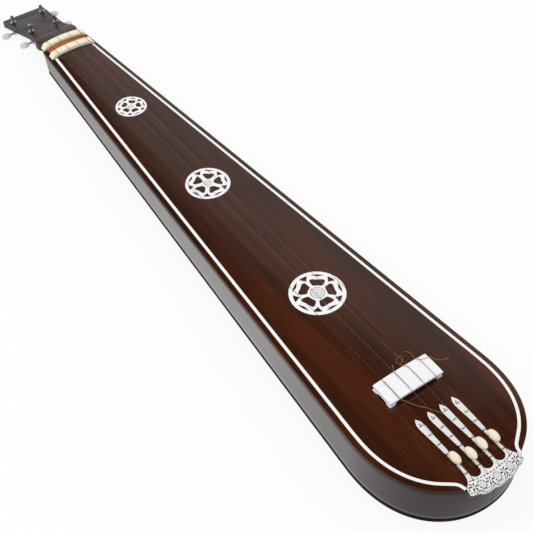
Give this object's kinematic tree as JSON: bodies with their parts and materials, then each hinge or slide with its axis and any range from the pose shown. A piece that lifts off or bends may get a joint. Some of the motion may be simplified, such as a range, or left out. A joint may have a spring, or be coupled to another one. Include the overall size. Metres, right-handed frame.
{
  "type": "tanpura",
  "caption": "Flat-backed travel tanpura: a long tapering wooden box with strings over a wide bridge, sliding tuning beads and geared machine heads on a tilted head.",
  "frame": {"origin": "middle of the flat back, in the back's plane", "axes": "+Z out of the soundboard, +Y along the strings towards the head, +X to the right when the head points away"},
  "size_m": [0.2004, 1.1338, 0.0953],
  "materials": {
    "polished_rosewood": "dark wood, French polished",
    "side_wood": "dark wood, polished",
    "inner_wood": "bare light wood",
    "head_wood": "dark grey-brown wood, polished",
    "strip_wood": "orange-brown wood, satin",
    "white_inlay": "white celluloid",
    "ivory": "ivory-coloured, satin",
    "bridge_white": "white, satin",
    "engraved_silver": "white metal, engraved",
    "bronze_wire": "bronze wire",
    "steel_wire": "plain steel wire",
    "thread": "cotton thread",
    "chrome": "chrome plated",
    "pearl": "pearl celluloid"
  },
  "bodies": {
    "instrument": {"soundboard": "polished_rosewood", "back_plate": "side_wood", "side_left": "side_wood", "side_right": "side_wood", "neck_block": "inner_wood", "tail_block": "inner_wood", "lining_left": "inner_wood", "lining_right": "inner_wood", "brace_upper": "inner_wood", "brace_middle": "inner_wood", "brace_lower": "inner_wood", "back_brace": "inner_wood", "head_plate": "head_wood", "head_collar": "head_wood", "spacer_strip": "strip_wood", "edge_line_left": "white_inlay", "edge_line_right": "white_inlay", "rosette_upper": "white_inlay", "rosette_middle": "white_inlay", "rosette_lower": "white_inlay", "nut": "ivory", "string_guide": "ivory", "bridge": "bridge_white", "tail_plate": "engraved_silver", "string_1": "bronze_wire", "string_4": "bronze_wire", "string_2": "steel_wire", "string_3": "steel_wire", "thread_1": "thread", "thread_2": "thread", "thread_3": "thread", "thread_4": "thread", "housing_near_left": "chrome", "bushing_near_left": "chrome", "housing_near_right": "chrome", "bushing_near_right": "chrome", "housing_far_left": "chrome", "bushing_far_left": "chrome", "housing_far_right": "chrome", "bushing_far_right": "chrome"},
    "bead_1": {"bead_1": "ivory"},
    "bead_2": {"bead_2": "ivory"},
    "bead_3": {"bead_3": "ivory"},
    "bead_4": {"bead_4": "ivory"},
    "worm_near_left": {"worm_shaft_near_left": "chrome", "button_near_left": "pearl"},
    "post_near_left": {"post_near_left": "chrome", "gear_near_left": "chrome"},
    "worm_near_right": {"worm_shaft_near_right": "chrome", "button_near_right": "pearl"},
    "post_near_right": {"post_near_right": "chrome", "gear_near_right": "chrome"},
    "worm_far_left": {"worm_shaft_far_left": "chrome", "button_far_left": "pearl"},
    "post_far_left": {"post_far_left": "chrome", "gear_far_left": "chrome"},
    "worm_far_right": {"worm_shaft_far_right": "chrome", "button_far_right": "pearl"},
    "post_far_right": {"post_far_right": "chrome", "gear_far_right": "chrome"}
  },
  "joints": [
    {"name": "bead_slide_1", "type": "slide", "parent": "instrument", "child": "bead_1", "axis": [0, 1, 0.0082], "range_m": [-0.0108, 0.0052]},
    {"name": "bead_slide_2", "type": "slide", "parent": "instrument", "child": "bead_2", "axis": [0, 1, 0.0083], "range_m": [-0.0052, 0.0108]},
    {"name": "bead_slide_3", "type": "slide", "parent": "instrument", "child": "bead_3", "axis": [0, 1, 0.0083], "range_m": [-0.008, 0.008]},
    {"name": "bead_slide_4", "type": "slide", "parent": "instrument", "child": "bead_4", "axis": [0, 1, 0.0082], "range_m": [-0.0075, 0.0085]},
    {"name": "worm_turn_near_left", "type": "hinge", "parent": "instrument", "child": "worm_near_left", "pos_m": [-0.022, 0.55124, 0.01153], "axis": [-1, 0, 0], "continuous": true},
    {"name": "post_turn_near_left", "type": "hinge", "parent": "instrument", "child": "post_near_left", "pos_m": [-0.022, 0.56329, 0.02262], "axis": [0, 0.2773, 0.9608], "continuous": true},
    {"name": "worm_turn_near_right", "type": "hinge", "parent": "instrument", "child": "worm_near_right", "pos_m": [0.022, 0.56758, 0.00681], "axis": [1, 0, 0], "continuous": true},
    {"name": "post_turn_near_right", "type": "hinge", "parent": "instrument", "child": "post_near_right", "pos_m": [0.022, 0.56329, 0.02262], "axis": [0, 0.2773, 0.9608], "continuous": true},
    {"name": "worm_turn_far_left", "type": "hinge", "parent": "instrument", "child": "worm_far_left", "pos_m": [-0.026, 0.61274, -0.00622], "axis": [-1, 0, 0], "continuous": true},
    {"name": "post_turn_far_left", "type": "hinge", "parent": "instrument", "child": "post_far_left", "pos_m": [-0.026, 0.62479, 0.00487], "axis": [0, 0.2773, 0.9608], "continuous": true},
    {"name": "worm_turn_far_right", "type": "hinge", "parent": "instrument", "child": "worm_far_right", "pos_m": [0.026, 0.62907, -0.01094], "axis": [1, 0, 0], "continuous": true},
    {"name": "post_turn_far_right", "type": "hinge", "parent": "instrument", "child": "post_far_right", "pos_m": [0.026, 0.62479, 0.00487], "axis": [0, 0.2773, 0.9608], "continuous": true}
  ],
  "couplings": [
    {"joint": "post_turn_near_left", "follows": "worm_turn_near_left", "ratio": 0.066667},
    {"joint": "post_turn_near_right", "follows": "worm_turn_near_right", "ratio": 0.066667},
    {"joint": "post_turn_far_left", "follows": "worm_turn_far_left", "ratio": 0.066667},
    {"joint": "post_turn_far_right", "follows": "worm_turn_far_right", "ratio": 0.066667}
  ]
}
